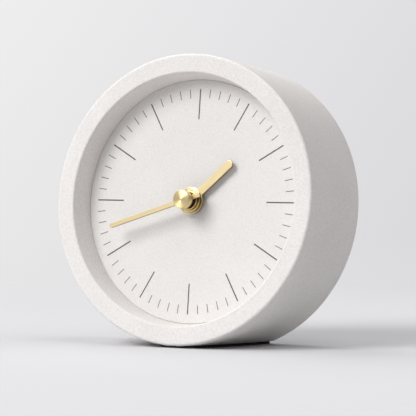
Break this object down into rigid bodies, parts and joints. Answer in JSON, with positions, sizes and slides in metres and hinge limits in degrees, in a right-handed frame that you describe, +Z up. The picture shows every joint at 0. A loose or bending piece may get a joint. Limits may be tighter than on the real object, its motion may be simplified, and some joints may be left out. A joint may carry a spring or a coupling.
{
  "type": "desk clock",
  "caption": "Round desk clock: a pale cast concrete drum leaning back on its base flat, a recessed dial, brass hands and a battery quartz movement closed by a rear cover.",
  "frame": {"origin": "on the table under the drum, midway between its front and rear extremes, on the base pad's underside", "axes": "+Z up, -Y to the viewer of the dial, +X to three o'clock; the drum's axis leans back 6.7 degrees"},
  "size_m": [0.1006, 0.0472, 0.1007],
  "materials": {
    "concrete": "fine cast concrete, matt, small pores",
    "dial_concrete": "fine matt mineral face with thin printed marks",
    "brushed_brass": "brushed and lacquered",
    "nickel_steel": "nickel plated",
    "black_rubber": "matt",
    "adhesive_tape": "foam tape",
    "black_plastic": "fine grain",
    "white_plastic": "moulded",
    "red_plastic": "moulded",
    "magnet": "sintered",
    "copper": "enamelled wire",
    "board": "glass fibre board",
    "epoxy": "cast",
    "cell_jacket": "plain printed jacket"
  },
  "bodies": {
    "case": {"case_shell": "concrete", "base_pad": "black_rubber", "dial": "dial_concrete", "dial_tape": "adhesive_tape", "nut_washer": "nickel_steel", "fixing_nut": "nickel_steel", "threaded_bush": "brushed_brass", "rubber_washer": "black_rubber", "stator": "nickel_steel", "coil_core": "nickel_steel", "coil_bobbin": "red_plastic", "coil_winding": "copper", "movement_front_case": "black_plastic", "movement_rear_case": "black_plastic", "train_bridge": "white_plastic", "circuit_board": "board", "quartz_crystal": "nickel_steel", "chip_blob": "epoxy", "battery_cell": "cell_jacket", "contact_positive": "nickel_steel", "contact_negative": "nickel_steel", "rear_cover": "black_plastic", "cover_screw_1": "nickel_steel", "threaded_insert_1": "brushed_brass", "cover_screw_2": "nickel_steel", "threaded_insert_2": "brushed_brass", "cover_screw_3": "nickel_steel", "threaded_insert_3": "brushed_brass"},
    "minute": {"minute_hand": "brushed_brass", "centre_knob": "brushed_brass", "minute_arbor": "brushed_brass"},
    "hour": {"hour_hand": "brushed_brass", "hour_collar": "brushed_brass", "hour_wheel": "black_plastic"},
    "motion": {"motion_wheel": "white_plastic"},
    "setting": {"time_set_knob": "black_plastic"},
    "rotor": {"rotor_pinion": "white_plastic", "rotor_magnet": "magnet"},
    "fifth": {"fifth_wheel": "white_plastic"},
    "fourth": {"fourth_wheel": "white_plastic"},
    "third": {"third_wheel": "white_plastic"},
    "centre": {"centre_wheel": "white_plastic"},
    "door": {"battery_door": "black_plastic"}
  },
  "joints": [
    {"name": "minute_turn", "type": "hinge", "parent": "case", "child": "minute", "pos_m": [0, -0.00906, 0.04981], "axis": [0, 0.9932, -0.1167], "continuous": true},
    {"name": "hour_turn", "type": "hinge", "parent": "case", "child": "hour", "pos_m": [0, -0.00906, 0.04981], "axis": [0, 0.9932, -0.1167], "continuous": true},
    {"name": "motion_turn", "type": "hinge", "parent": "case", "child": "motion", "pos_m": [-0.0072, -0.00906, 0.04981], "axis": [0, 0.9932, -0.1167], "continuous": true},
    {"name": "setting_turn", "type": "hinge", "parent": "case", "child": "setting", "pos_m": [-0.0144, -0.00906, 0.04981], "axis": [0, 0.9932, -0.1167], "continuous": true},
    {"name": "fourth_turn", "type": "hinge", "parent": "case", "child": "fourth", "pos_m": [0, -0.00906, 0.04981], "axis": [0, 0.9932, -0.1167], "continuous": true},
    {"name": "fifth_turn", "type": "hinge", "parent": "case", "child": "fifth", "pos_m": [-0.00378, -0.0083, 0.05632], "axis": [0, 0.9932, -0.1167], "continuous": true},
    {"name": "rotor_turn", "type": "hinge", "parent": "case", "child": "rotor", "pos_m": [-0.00495, -0.00753, 0.06289], "axis": [0, 0.9932, -0.1167], "continuous": true},
    {"name": "third_turn", "type": "hinge", "parent": "case", "child": "third", "pos_m": [0.009, -0.00906, 0.04981], "axis": [0, 0.9932, -0.1167], "continuous": true},
    {"name": "centre_turn", "type": "hinge", "parent": "case", "child": "centre", "pos_m": [0, -0.00906, 0.04981], "axis": [0, 0.9932, -0.1167], "continuous": true},
    {"name": "battery_door_pull", "type": "slide", "parent": "case", "child": "door", "axis": [0, 0.9932, -0.1167], "range_m": [0, 0.02]}
  ],
  "couplings": [
    {"joint": "hour_turn", "follows": "minute_turn", "ratio": 0.083333},
    {"joint": "motion_turn", "follows": "minute_turn", "ratio": -0.33333},
    {"joint": "setting_turn", "follows": "minute_turn", "ratio": 1},
    {"joint": "fifth_turn", "follows": "fourth_turn", "ratio": -6},
    {"joint": "rotor_turn", "follows": "fourth_turn", "ratio": 30},
    {"joint": "third_turn", "follows": "fourth_turn", "ratio": -0.13333},
    {"joint": "centre_turn", "follows": "fourth_turn", "ratio": 0.016667}
  ]
}
